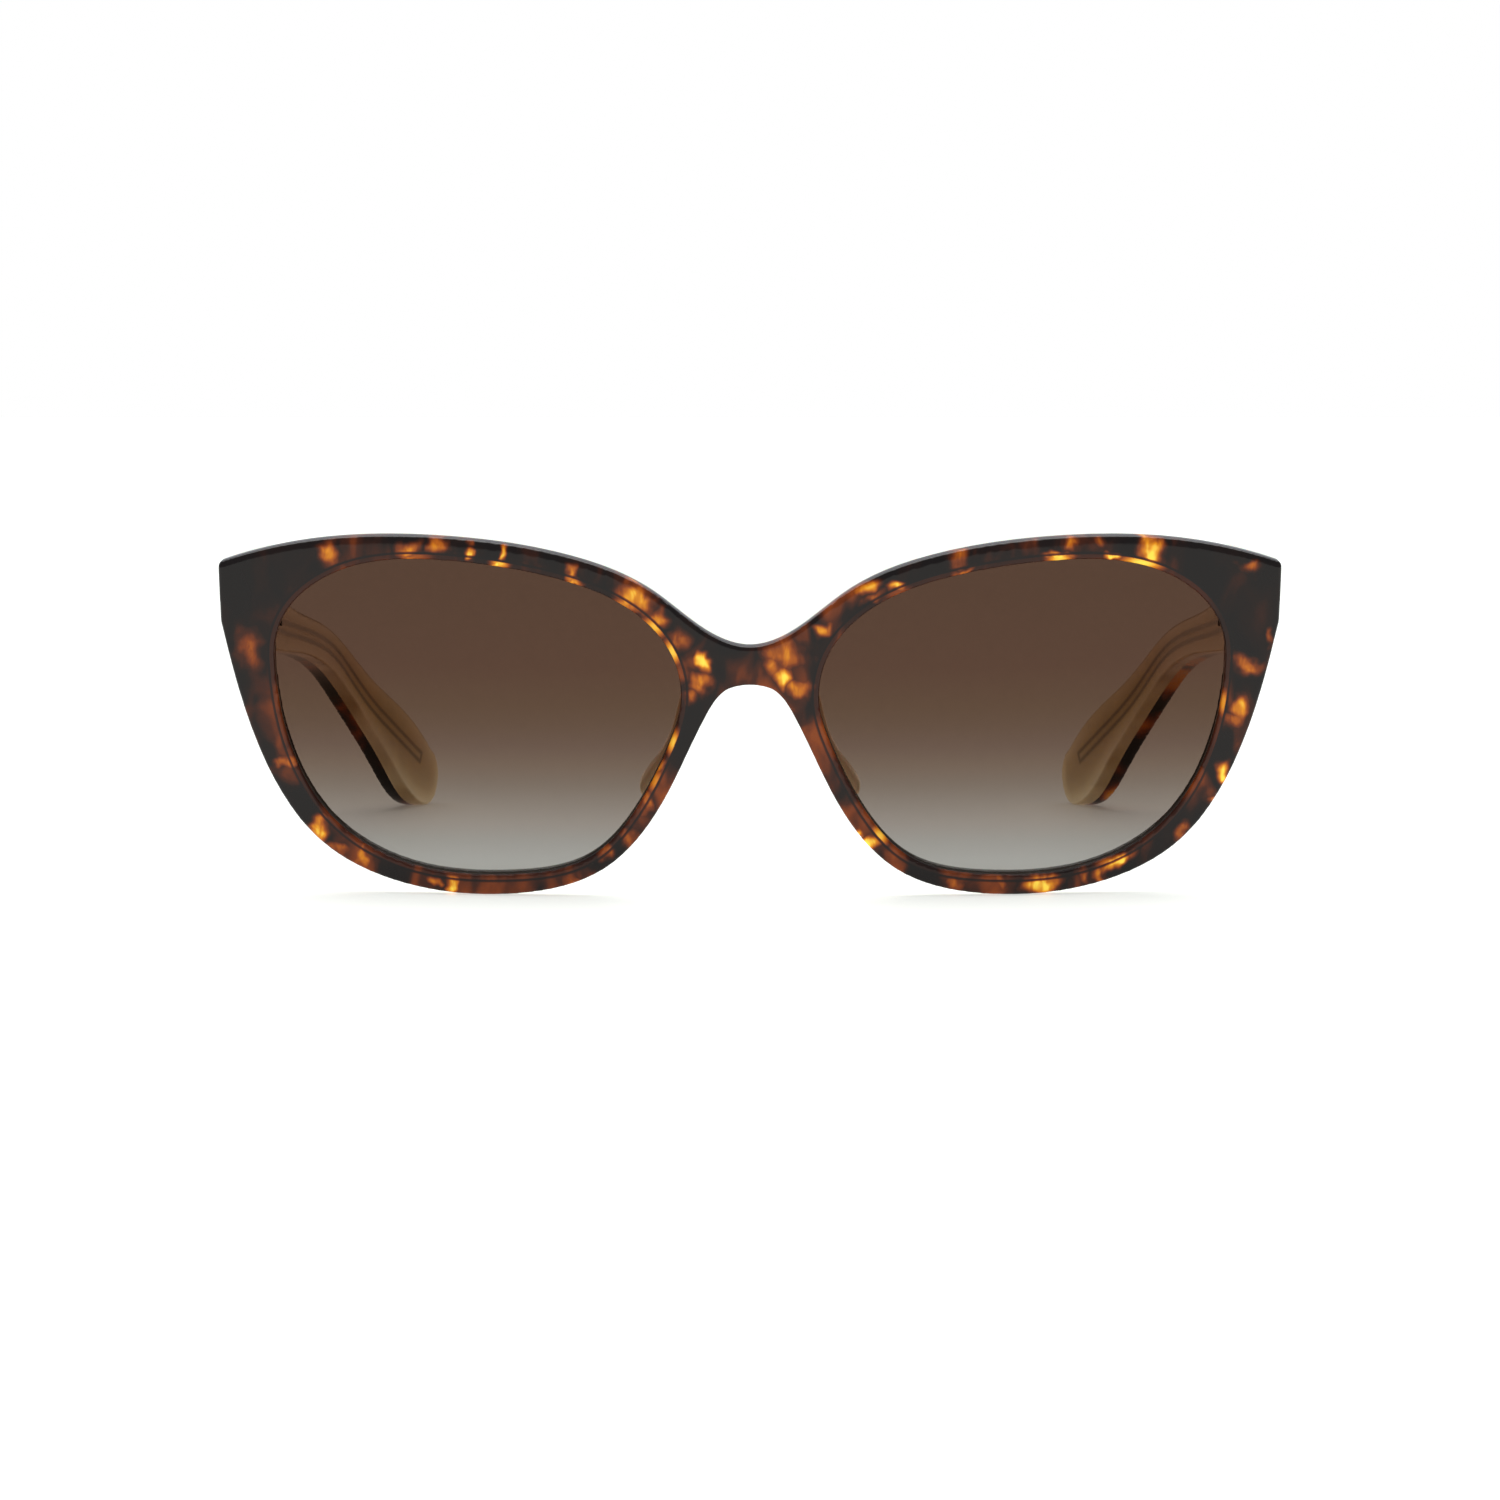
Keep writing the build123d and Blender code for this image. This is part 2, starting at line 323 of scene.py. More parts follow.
def finish_piece(
    piece: bpy.types.Object,
    material: bpy.types.Material,
    body: str,
    stands_for: Sequence[str],
) -> None:
    """Dresses a new piece and says what it belongs to.

    Args:
        piece: the finished mesh.
        material: its only material.
        body: the CAD body that it moves with.
        stands_for: the CAD nodes that it replaces.
    """
    piece.data.materials.clear()
    piece.data.materials.append(material)
    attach(piece, body)
    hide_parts(*stands_for)
    LOG.info("%s: %d faces on %s", piece.name, len(piece.data.polygons), body)


def dress_node(node: str, material: bpy.types.Material) -> None:
    """Gives a CAD node's object a better material."""
    target = frame["nodes"][node]
    target.data.materials.clear()
    target.data.materials.append(material)
    LOG.info("%s: dressed in %s", node, material.name)


@dataclass(frozen=True)
class Fleck:
    """One amber cloud in the tortoise sheet, or one patch of painted light on a bevel.

    Attributes:
        across: X of its middle.
        up: Z of its middle.
        wide: half its width.
        tall: half its height.
        heat: how bright its middle is, from 0, black brown, to 1, clear yellow.
        turn: how far it leans, in degrees, with the top going to +X.
    """

    across: float
    up: float
    wide: float
    tall: float
    heat: float
    turn: float = 0.0


@dataclass(frozen=True)
class TortoiseAcetate:
    """Cellulose acetate sheet, cut from a pressed block of black and amber chips, tumble-polished.

    The chips are smoky at their edges because they melted together in the press, and the amber ones
    let light through, so they glow where the black ones only shine: that glow is painted, as
    emission.

    Attributes:
        flecks: the amber clouds with a place of their own, over the sheet's overall mottle.
        bevel_flecks: patches of painted light on the bevel round the lens openings, if it has one.
        spread: how far the amber has spread into the black, as a factor on the flecks' sizes.
        mottle: typical distance from one chip to the next.
        richness: how bright the brightest clouds of the overall mottle are, as a fleck's heat.
        through: Y of the flecks' middles and half their depth, which takes them right through.
        opening_glow: whether the piece is the front, which carries the attribute that says how near
            the front edge of a lens opening is.
    """

    flecks: tuple[Fleck, ...] = ()
    bevel_flecks: tuple[Fleck, ...] = ()
    spread: float = 1.24
    mottle: float = 5.0
    richness: float = 0.5
    through: tuple[float, float] = (-60.0, 40.0)
    opening_glow: bool = False

    def material(self, name: str) -> bpy.types.Material:
        """Builds the material.

        Args:
            name: the material's name.

        Returns:
            The finished material.
        """
        material, tree = new_material(name)
        place = millimetres(tree)
        amount = self._mottle(tree, place)
        amount = self._placed(tree, place, amount)
        # The front gets a painted red glow before the pale layer, and painted light on the bevels
        # with a painted line of shade beside them.
        if self.opening_glow:
            amount = self._back_glow(tree, place, amount)
            amount = self._rim_glow(tree, place, amount)
        colour = self._colour(tree, amount)
        # Buffing leaves a haze about 1.7 mm across, and a ripple about 8 mm long.
        haze = add_node(
            tree, "ShaderNodeTexNoise", {"Scale": 0.6, "Detail": 2.0}, {"Vector": place}
        )
        roughness = add_node(
            tree, "ShaderNodeMath", {"operation": "MULTIPLY_ADD", 1: 0.04, 2: 0.04}, {0: haze}
        )
        ripple = add_node(
            tree, "ShaderNodeTexNoise", {"Scale": 0.12, "Detail": 1.0}, {"Vector": place}
        )
        bump = add_node(
            tree, "ShaderNodeBump", {"Strength": 0.03, "Distance": 0.4 * MM}, {"Height": ripple}
        )
        # Painted glow: the amber parts emit light as the square of their amount, for light from
        # behind coming through them.
        lively = add_node(tree, "ShaderNodeMath", {"operation": "MULTIPLY"}, {0: amount, 1: amount})
        glow = add_node(tree, "ShaderNodeMath", {"operation": "MULTIPLY", 1: 0.3}, {0: lively})
        shader = add_node(
            tree,
            "ShaderNodeBsdfPrincipled",
            {"IOR": 1.48, "Specular IOR Level": 0.25},
            {
                "Base Color": colour,
                "Roughness": roughness,
                "Normal": bump,
                "Emission Color": colour,
                "Emission Strength": glow,
            },
        )
        add_node(tree, "ShaderNodeOutputMaterial", links={"Surface": shader})
        return material

    def _mottle(self, tree: bpy.types.NodeTree, place: Source) -> Source:
        """The sheet's overall pattern of smoky red brown clouds, from 0 to the richness."""
        stretched = add_node(
            tree, "ShaderNodeMapping", {"Scale": (1.0, 0.5, 0.6)}, {"Vector": place}
        )
        clouds = add_node(
            tree,
            "ShaderNodeTexNoise",
            {"Scale": 1.0 / self.mottle, "Detail": 2.5, "Roughness": 0.5, "Distortion": 0.4},
            {"Vector": stretched},
        )
        broad = add_node(
            tree,
            "ShaderNodeTexNoise",
            {"Scale": 0.4 / self.mottle, "Detail": 1.0},
            {"Vector": stretched},
        )
        mixed = add_node(
            tree, "ShaderNodeMath", {"operation": "MULTIPLY_ADD", 1: 0.45}, {0: broad, 2: clouds}
        )
        chips = add_node(
            tree,
            "ShaderNodeMapRange",
            {"interpolation_type": "SMOOTHSTEP", 1: 0.61, 2: 0.95, 3: 0.0, 4: self.richness},
            {0: mixed},
        )
        if not self.opening_glow:
            return chips
        ends = self._plain_ends(tree, place)
        return add_node(tree, "ShaderNodeMath", {"operation": "MULTIPLY"}, {0: chips, 1: ends})

    def _plain_ends(self, tree: bpy.types.NodeTree, place: Source) -> Source:
        """Falls from 1 towards 0.4 at the end pieces, where the sheet is nearly black."""
        parts = add_node(tree, "ShaderNodeSeparateXYZ", links={0: place})
        out = add_node(tree, "ShaderNodeMath", {"operation": "ABSOLUTE"}, {0: parts.outputs["X"]})
        ends = add_node(
            tree,
            "ShaderNodeMapRange",
            {"interpolation_type": "SMOOTHSTEP", 1: 52.0, 2: 60.0, 3: 0.0, 4: 0.6},
            {0: out},
        )
        high = add_node(
            tree,
            "ShaderNodeMapRange",
            {"interpolation_type": "SMOOTHSTEP", 1: 26.0, 2: 34.0, 3: 0.0, 4: 1.0},
            {0: parts.outputs["Z"]},
        )
        both = add_node(tree, "ShaderNodeMath", {"operation": "MULTIPLY"}, {0: ends, 1: high})
        return add_node(tree, "ShaderNodeMath", {"operation": "SUBTRACT", 0: 1.0}, {1: both})

    def _placed(self, tree: bpy.types.NodeTree, place: Source, amount: Source) -> Source:
        """Adds the flecks that have a place of their own, smoky and pushed about by noise."""
        if not self.flecks:
            return amount
        # Melting chips push each other's edges about by up to 2 mm, some 3 mm apart.
        stir = add_node(
            tree,
            "ShaderNodeTexNoise",
            {"Scale": 0.3, "Detail": 2.0, "Roughness": 0.5},
            {"Vector": place},
        )
        centred = add_node(
            tree,
            "ShaderNodeVectorMath",
            {"operation": "SUBTRACT", 1: (0.5, 0.5, 0.5)},
            {0: stir.outputs["Color"]},
        )
        pushed = add_node(
            tree,
            "ShaderNodeVectorMath",
            {"operation": "MULTIPLY_ADD", 1: (4.0, 4.0, 4.0)},
            {0: centred, 2: place},
        )
        placed = self._clouds(tree, pushed, self.flecks, self.spread)
        # Smoke drawn out in the press lies over the amber in wisps about 1.3 mm wide.
        streaks = add_node(
            tree, "ShaderNodeMapping", {"Scale": (1.0, 0.4, 0.5)}, {"Vector": place}
        )
        wisps = add_node(
            tree,
            "ShaderNodeTexNoise",
            {"Scale": 0.75, "Detail": 2.0, "Distortion": 0.6},
            {"Vector": streaks},
        )
        smoke = add_node(
            tree, "ShaderNodeMath", {"operation": "MULTIPLY_ADD", 1: 1.0, 2: 0.6}, {0: wisps}
        )
        smoky = add_node(tree, "ShaderNodeMath", {"operation": "MULTIPLY"}, {0: placed, 1: smoke})
        return add_node(tree, "ShaderNodeMath", {"operation": "MAXIMUM"}, {0: amount, 1: smoky})

    def _clouds(
        self,
        tree: bpy.types.NodeTree,
        place: Source,
        flecks: Sequence[Fleck],
        spread: float,
    ) -> Source:
        """Draws round soft clouds.

        Args:
            tree: the material's nodes.
            place: where the point is, in millimetres.
            flecks: the clouds.
            spread: how much bigger than their sizes they are drawn.

        Returns:
            The heat of the hottest cloud at that point.
        """
        hottest = None
        for fleck in flecks:
            local = add_node(
                tree,
                "ShaderNodeMapping",
                {
                    "vector_type": "TEXTURE",
                    "Location": (fleck.across, self.through[0], fleck.up),
                    "Rotation": (0.0, math.radians(fleck.turn), 0.0),
                    "Scale": (fleck.wide * spread, self.through[1], fleck.tall * spread),
                },
                {"Vector": place},
            )
            far = add_node(tree, "ShaderNodeVectorMath", {"operation": "LENGTH"}, {0: local})
            near = add_node(
                tree,
                "ShaderNodeMapRange",
                {"interpolation_type": "SMOOTHSTEP", 1: 0.1, 2: 1.5, 3: fleck.heat, 4: 0.0},
                {0: far.outputs["Value"]},
            )
            if hottest is None:
                hottest = near
            else:
                hottest = add_node(
                    tree, "ShaderNodeMath", {"operation": "MAXIMUM"}, {0: hottest, 1: near}
                )
        return hottest

    def _back_glow(self, tree: bpy.types.NodeTree, place: Source, amount: Source) -> Source:
        """Paints a red glow in the last millimetre before the pale layer, for the light it lends.
        """
        front = Front()
        radius = add_node(
            tree,
            "ShaderNodeVectorMath",
            {"operation": "DISTANCE", 1: tuple(front.centre() / MM)},
            {0: place},
        ).outputs["Value"]
        shared = front.face_radius - front.shell
        # Painted glow: red brown, fading over about 1.7 mm in front of the pale layer.
        painted_glow_span = {1: shared + 0.1, 2: shared + 1.8, 3: 0.27, 4: 0.0}
        behind = add_node(
            tree,
            "ShaderNodeMapRange",
            {"interpolation_type": "SMOOTHSTEP", **painted_glow_span},
            {0: radius},
        )
        return add_node(tree, "ShaderNodeMath", {"operation": "MAXIMUM"}, {0: amount, 1: behind})

    def _rim_glow(self, tree: bpy.types.NodeTree, place: Source, amount: Source) -> Source:
        """Paints the light from behind onto each bevel, and a painted line of shade beside it."""
        near = add_node(tree, "ShaderNodeAttribute", {"attribute_name": "bevel"}).outputs["Fac"]
        black, white = srgb("#000000"), srgb("#ffffff")
        band = add_node(
            tree, "ShaderNodeValToRGB", {"stops": ((0.5, black), (0.6, white))}, {0: near}
        )
        # A painted line of shade on the face, just outside the bevel.
        line = add_node(
            tree,
            "ShaderNodeValToRGB",
            {
                "stops": (
                    (0.32, white),
                    (0.44, srgb("#b4b4b4")),
                    (0.52, srgb("#a0a0a0")),
                    (0.6, white),
                )
            },
            {0: near},
        )
        # The bevel's painted light comes in patches about 9 mm long.
        patchy = add_node(
            tree, "ShaderNodeTexNoise", {"Scale": 0.11, "Detail": 1.0}, {"Vector": place}
        )
        base = add_node(
            tree, "ShaderNodeMath", {"operation": "MULTIPLY_ADD", 1: 0.34, 2: 0.02}, {0: patchy}
        )
        clouds = self._clouds(tree, place, self.bevel_flecks, 1.0)
        cloudy = add_node(tree, "ShaderNodeMath", {"operation": "MAXIMUM"}, {0: base, 1: clouds})
        carried = add_node(tree, "ShaderNodeMath", {"operation": "MULTIPLY", 1: 0.95}, {0: amount})
        lit = add_node(tree, "ShaderNodeMath", {"operation": "MAXIMUM"}, {0: cloudy, 1: carried})
        edged = add_node(tree, "ShaderNodeMath", {"operation": "MULTIPLY"}, {0: amount, 1: line})
        banded = add_node(tree, "ShaderNodeMath", {"operation": "MULTIPLY"}, {0: band, 1: lit})
        return add_node(tree, "ShaderNodeMath", {"operation": "MAXIMUM"}, {0: edged, 1: banded})

    def _colour(self, tree: bpy.types.NodeTree, amount: Source) -> Source:
        """The sheet's colour, from black brown through red brown and amber to clear yellow."""
        return add_node(
            tree,
            "ShaderNodeValToRGB",
            {
                "stops": (
                    (0.0, srgb("#171110")),
                    (0.12, srgb("#21130f")),
                    (0.3, srgb("#4a200f")),
                    (0.48, srgb("#823a12")),
                    (0.64, srgb("#b85f14")),
                    (0.8, srgb("#e08c18")),
                    (1.0, srgb("#ffd54a")),
                )
            },
            {0: amount},
        )


@dataclass(frozen=True)
class PaleAcetate:
    """Milky grey green cellulose acetate, polished. It scatters light, so its edges look soft.

    Attributes:
        light: its paler clouds.
        dark: its deeper clouds.
        glow: strength of a painted glow, for light from behind that comes through it.
        opening_glow: whether the piece carries the attribute that says how near a lens opening is,
            where its walls get painted shade, the dark layer's colour seen through the pale one.
    """

    light: str = "#eef1e8"
    dark: str = "#cdd2c4"
    glow: float = 0.0
    opening_glow: bool = False

    def material(self, name: str) -> bpy.types.Material:
        """Builds the material, with faint milky clouds about 6 mm across."""
        material, tree = new_material(name)
        place = millimetres(tree)
        clouds = add_node(
            tree, "ShaderNodeTexNoise", {"Scale": 0.17, "Detail": 3.0}, {"Vector": place}
        )
        colour = add_node(
            tree,
            "ShaderNodeMix",
            {"data_type": "RGBA", 6: srgb(self.light), 7: srgb(self.dark)},
            {0: clouds},
        ).outputs[2]
        # Painted shade: the walls round the lens openings are darkened to a deep brown.
        if self.opening_glow:
            near = add_node(tree, "ShaderNodeAttribute", {"attribute_name": "opening"})
            shade = add_node(
                tree,
                "ShaderNodeMapRange",
                {"interpolation_type": "SMOOTHSTEP", 1: 0.45, 2: 0.7, 3: 0.0, 4: 0.93},
                {0: near.outputs["Fac"]},
            )
            colour = add_node(
                tree,
                "ShaderNodeMix",
                {"data_type": "RGBA", 7: srgb("#2c1c14")},
                {0: shade, 6: colour},
            ).outputs[2]
        roughness = add_node(
            tree, "ShaderNodeMath", {"operation": "MULTIPLY_ADD", 1: 0.08, 2: 0.08}, {0: clouds}
        )
        # The emission is a painted glow, for light from behind coming through the acetate.
        shader = add_node(
            tree,
            "ShaderNodeBsdfPrincipled",
            {
                "IOR": 1.48,
                "Subsurface Weight": 0.3,
                "Subsurface Scale": 1.2 * MM,
                "Emission Strength": self.glow,
            },
            {"Base Color": colour, "Roughness": roughness, "Emission Color": colour},
        )
        add_node(tree, "ShaderNodeOutputMaterial", links={"Surface": shader})
        return material


@dataclass(frozen=True)
class CrystalAcetate:
    """Clear champagne cellulose acetate, polished.

    It pipes light along the blade, which is painted in, with a painted glow: its edges are
    brighter, its middle is deeper, and the outline of the core wire shows through.
    """

    def material(self, name: str) -> bpy.types.Material:
        """Builds the material, whose painted light follows the blade's outline, with faint clouds.
        """
        material, tree = new_material(name)
        place = millimetres(tree)
        clouds = add_node(
            tree, "ShaderNodeTexNoise", {"Scale": 0.12, "Detail": 1.5}, {"Vector": place}
        )
        blade = add_node(tree, "ShaderNodeAttribute", {"attribute_name": "blade"}).outputs["Fac"]
        drift = add_node(
            tree, "ShaderNodeMath", {"operation": "MULTIPLY_ADD", 1: 0.1, 2: -0.05}, {0: clouds}
        )
        depth = add_node(tree, "ShaderNodeMath", {"operation": "ADD"}, {0: blade, 1: drift})
        # Painted light: brighter towards the blade's edges, where light piped along it comes out,
        # and dimmer at the very edge.
        piped = add_node(
            tree,
            "ShaderNodeValToRGB",
            {
                "stops": (
                    (0.0, srgb("#ccb282")),
                    (0.4, srgb("#d8c090")),
                    (0.72, srgb("#efdcae")),
                    (0.92, srgb("#f8e9c4")),
                    (1.0, srgb("#ab9064")),
                )
            },
            {0: depth},
        )
        near = add_node(tree, "ShaderNodeAttribute", {"attribute_name": "wire"})
        outline = add_node(
            tree,
            "ShaderNodeMapRange",
            {"interpolation_type": "SMOOTHSTEP", 1: 0.62, 2: 0.95, 3: 0.0, 4: 0.7},
            {0: near.outputs["Fac"]},
        )
        colour = add_node(
            tree, "ShaderNodeMix", {"data_type": "RGBA", 7: srgb("#54452a")}, {0: outline, 6: piped}
        ).outputs[2]
        roughness = add_node(
            tree, "ShaderNodeMath", {"operation": "MULTIPLY_ADD", 1: 0.06, 2: 0.04}, {0: clouds}
        )
        # Emission of the colour at 0.45 is a painted glow.
        shader = add_node(
            tree,
            "ShaderNodeBsdfPrincipled",
            {"IOR": 1.48, "Transmission Weight": 0.25, "Emission Strength": 0.45},
            {"Base Color": colour, "Roughness": roughness, "Emission Color": colour},
        )
        add_node(tree, "ShaderNodeOutputMaterial", links={"Surface": shader})
        return material


@dataclass(frozen=True)
class GradientLens:
    """Nylon lens, dip-dyed brown from the top so that it fades to grey, hard coated on both faces.

    Attributes:
        shades: each height above the floor and the colour of white light through the lens there.
        backlight: how bright the white light behind is for those colours.
        sheen: how much of the reflection at a glancing view is kept.
        top: the height over the floor where the shades' scale ends.
    """

    shades: tuple[tuple[float, str], ...] = (
        (4.3, "#a6a4a1"),
        (6.9, "#9d9995"),
        (9.4, "#968d87"),
        (12.0, "#8a7f77"),
        (14.6, "#7e7066"),
        (17.2, "#766458"),
        (19.7, "#6d594e"),
        (22.3, "#675245"),
        (24.9, "#634d3f"),
        (30.0, "#5e463a"),
        (40.3, "#5b4438"),
    )
    backlight: float = 1.38
    sheen: float = 0.8
    top: float = 45.0

    def material(self, name: str) -> bpy.types.Material:
        """Builds the material. Light crosses two faces, so each one holds the root of the tint."""
        material, tree = new_material(name)
        place = millimetres(tree)
        height = add_node(tree, "ShaderNodeSeparateXYZ", links={0: place}).outputs["Z"]
        along = add_node(tree, "ShaderNodeMath", {"operation": "DIVIDE", 1: self.top}, {0: height})
        stops = []
        for level, shade in self.shades:
            face = [math.sqrt(part / self.backlight) for part in srgb(shade)[:3]]
            stops.append((level / self.top, (face[0], face[1], face[2], 1.0)))
        tint = add_node(tree, "ShaderNodeValToRGB", {"stops": stops}, {0: along})
        clear = add_node(tree, "ShaderNodeBsdfTransparent", links={"Color": tint})
        gloss = add_node(
            tree, "ShaderNodeBsdfGlossy", {"Roughness": 0.02, "Color": srgb("#e8ecf2")}
        )
        edge = add_node(tree, "ShaderNodeFresnel", {"IOR": 1.5})
        coated = add_node(
            tree, "ShaderNodeMapRange", {1: 0.05, 2: 1.0, 3: 0.0, 4: self.sheen}, {0: edge}
        )
        both = add_node(tree, "ShaderNodeMixShader", links={0: coated, 1: clear, 2: gloss})
        add_node(tree, "ShaderNodeOutputMaterial", links={"Surface": both})
        return material


@dataclass(frozen=True)
class HingeMetal:
    """Nickel silver, machined and barrel-finished: satin, a little warm, with fine turning marks.

    Attributes:
        tone: the metal's colour.
        roughness: how satin it is at its smoothest.
        grain: distance between the marks, drawn twice as coarse as real ones so that they show.
    """

    tone: str = "#c9c4b8"
    roughness: float = 0.22
    grain: float = 0.2

    def material(self, name: str) -> bpy.types.Material:
        """Builds the material."""
        material, tree = new_material(name)
        place = millimetres(tree)
        flat = add_node(tree, "ShaderNodeMapping", {"Scale": (0.1, 0.1, 1.0)}, {"Vector": place})
        marks = add_node(
            tree,
            "ShaderNodeTexNoise",
            {"Scale": 1.0 / self.grain, "Detail": 2.0},
            {"Vector": flat},
        )
        dull = add_node(
            tree,
            "ShaderNodeMix",
            {"data_type": "RGBA", 6: srgb(self.tone), 7: srgb("#8f8a80")},
            {0: marks},
        ).outputs[2]
        roughness = add_node(
            tree,
            "ShaderNodeMath",
            {"operation": "MULTIPLY_ADD", 1: 0.2, 2: self.roughness},
            {0: marks},
        )
        shader = add_node(
            tree,
            "ShaderNodeBsdfPrincipled",
            {"Metallic": 1.0},
            {"Base Color": dull, "Roughness": roughness},
        )
        add_node(tree, "ShaderNodeOutputMaterial", links={"Surface": shader})
        return material


@dataclass(frozen=True)
class LightTable:
    """Opal acrylic table, matt, lit from below so that it burns out to pure white round the object.

    Attributes:
        tone: the acrylic's own colour.
        lit: how much light comes up through it.
    """

    tone: str = "#c4c6c1"
    lit: float = 0.62

    def material(self, name: str) -> bpy.types.Material:
        """Builds the material."""
        material, tree = new_material(name)
        shader = add_node(
            tree,
            "ShaderNodeBsdfPrincipled",
            {
                "Base Color": srgb(self.tone),
                "Roughness": 0.6,
                "Specular IOR Level": 0.1,
                "Emission Color": srgb("#fdfffb"),
                "Emission Strength": self.lit,
            },
        )
        add_node(tree, "ShaderNodeOutputMaterial", links={"Surface": shader})
        return material


@dataclass
class Front:
    """The front: a tortoise layer laminated to a pale one, polished as one body.

    Attributes:
        face_radius: radius of the curved face.
        face_mid: height of the curve's centre above the front's origin.
        shell: thickness of the tortoise layer.
        lean: how far the top leans towards -Y, in degrees.
        origin: Y and Z of the front's origin.
        polish: how its edges are rounded.
        reach: how far from a lens the wall of its opening is marked, for the painted shade there.
        bevel_reach: how far from the front edge of an opening its bevel is marked, for its painted
            light.
        slab: width and height of the slice of the ball, a little more than the front's own.
    """

    face_radius: float = 240.0
    face_mid: float = 24.0
    shell: float = 2.6
    lean: float = 4.0
    origin: tuple[float, float] = (-67.32, 1.95)
    polish: TumblePolish = field(default_factory=lambda: TumblePolish(0.22, 20))
    reach: float = 2.0
    bevel_reach: float = 1.6
    slab: tuple[float, float] = (150.0, 60.0)

    def build(self) -> None:
        """Makes both layers, dresses them and reports them."""
        whole = copy_of("front_whole", ["front_rim", "front_lining"])
        self.polish.polish(whole)
        ball = self._ball()
        rim = split_layer(whole, "polished_rim", ball, Layer.OUTSIDE)
        lining = split_layer(whole, "polished_lining", ball, Layer.INSIDE)
        for spare in (whole, ball):
            bpy.data.objects.remove(spare)
        lenses = [p for side in Side for p in edge_points(f"lens_{side.label}")]
        mark_near(lining, "opening", lenses, self.reach)
        mark_near(rim, "bevel", self._opening_edges(), self.bevel_reach)
        # The tortoise gets painted light on the bevels and a painted glow, and the lining a painted
        # glow and painted shade round the openings.
        tortoise = TortoiseAcetate(FLECKS, BEVEL_GLOW_PATCHES, opening_glow=True)
        pale = PaleAcetate(glow=0.5, opening_glow=True)
        finish_piece(
            rim,
            tortoise.material("tortoise acetate, polished"),
            "front",
            ["front_rim"],
        )
        finish_piece(
            lining,
            pale.material("pale acetate, polished"),
            "front",
            ["front_lining"],
        )

    def centre(self) -> Vector:
        """The centre of the curved faces, in metres."""
        lean = math.radians(self.lean)
        y, z = self.origin
        out = y - self.face_mid * math.sin(lean) + self.face_radius * math.cos(lean)
        up = z + self.face_mid * math.cos(lean) + self.face_radius * math.sin(lean)
        return Vector((0.0, out, up)) * MM

    def _ball(self) -> bpy.types.Object:
        """A slice of a big ball, whose front is the surface that the two layers share."""
        _, centre_y, centre_z = self.centre() / MM
        deselect_all()
        bpy.ops.mesh.primitive_grid_add(x_subdivisions=160, y_subdivisions=64, size=1.0)
        ball = bpy.context.view_layer.objects.active
        points = np.empty(len(ball.data.vertices) * 3)
        ball.data.vertices.foreach_get("co", points)
        points = points.reshape(-1, 3)
        across, up = points[:, 0] * self.slab[0], points[:, 1] * self.slab[1] + self.face_mid
        radius = self.face_radius - self.shell
        depth = centre_y - np.sqrt(radius**2 - across**2 - (up - centre_z) ** 2)
        points = np.column_stack((across, depth, up)) * MM
        ball.data.vertices.foreach_set("co", points.ravel())
        activate(ball)
        bpy.ops.object.mode_set(mode="EDIT")
        bpy.ops.mesh.select_all(action="SELECT")
        bpy.ops.mesh.extrude_region_move(TRANSFORM_OT_translate={"value": (0.0, 40 * MM, 0.0)})
        bpy.ops.mesh.select_all(action="SELECT")
        bpy.ops.mesh.normals_make_consistent(inside=False)
        bpy.ops.object.mode_set(mode="OBJECT")
        return ball

    def _opening_edges(self) -> list[Vector]:
        """Points on the front edge of both openings: on the curved face, inside a lens outline."""
        centre = self.centre()
        front = [
            point
            for point in edge_points("front_rim")
            if abs((point - centre).length - self.face_radius * MM) < ON_FACE * MM
        ]
        inside = []
        for side in Side:
            outline = [Vector((p.x, 0.0, p.z)) for p in edge_points(f"lens_{side.label}")]
            middle = sum(outline, Vector()) / len(outline)
            tree = tree_of(outline)
            for point in front:
                flat = Vector((point.x, 0.0, point.z))
                if (flat - middle).length < (tree.find(flat)[0] - middle).length:
                    inside.append(point)
        return inside


@dataclass
class NosePad:
    """A pale moulded pad, rounded all over and glued behind the nasal side of a rim.

    Attributes:
        side: which pad.
        polish: how its edges are rounded.
        middle: height of its fullest part.
        above: how far over that its upper end is.
        below: how far under that its lower end is.
        draw: how far its middle and its ends are drawn in.
    """

    side: Side
    polish: TumblePolish = field(default_factory=lambda: TumblePolish(0.3, 36))
    middle: float = 17.0
    above: float = 9.0
    below: float = 6.0
    draw: tuple[float, float] = (0.3, 1.0)

    def build(self) -> None:
        """Makes the pad, dresses it and reports it."""
        node = f"nose_pad_{self.side.label}"
        pad = copy_of(f"polished_pad_{self.side.label}", [node])
        self.polish.polish(pad)
        self._trim(pad)
        # The pad's emission is a painted glow, for light from behind coming through it.
        pale = PaleAcetate("#f0dcc0", "#dcc4a0", glow=0.7)
        material = pale.material(f"pale acetate pad, moulded, {self.side.label}")
        finish_piece(pad, material, "front", [node])

    def _trim(self, pad: bpy.types.Object) -> None:
        """Draws the pad's ends in towards the nose, as its file-finished edge is."""
        for vertex in pad.data.vertices:
            over = vertex.co.z / MM - self.middle
            ends = min(max(over / self.above, -over / self.below), 1.0)
            drawn = self.draw[0] + (self.draw[1] - self.draw[0]) * ends
            vertex.co.x -= self.side.value * drawn * MM


@dataclass
class Lens:
    """A tinted lens: the part's own shape, with its curved faces made smooth to look at."""

    side: Side

    def build(self) -> None:
        """Makes the lens, dresses it and reports it."""
        node = f"lens_{self.side.label}"
        lens = copy_of(f"coated_{node}", [node])
        apply_modifier(lens, "WELD", merge_threshold=MERGE * MM)
        activate(lens)
        bpy.ops.object.shade_smooth_by_angle(angle=math.radians(30))
        tint = GradientLens().material(f"gradient nylon lens, {self.side.label}")
        finish_piece(lens, tint, "front", [node])


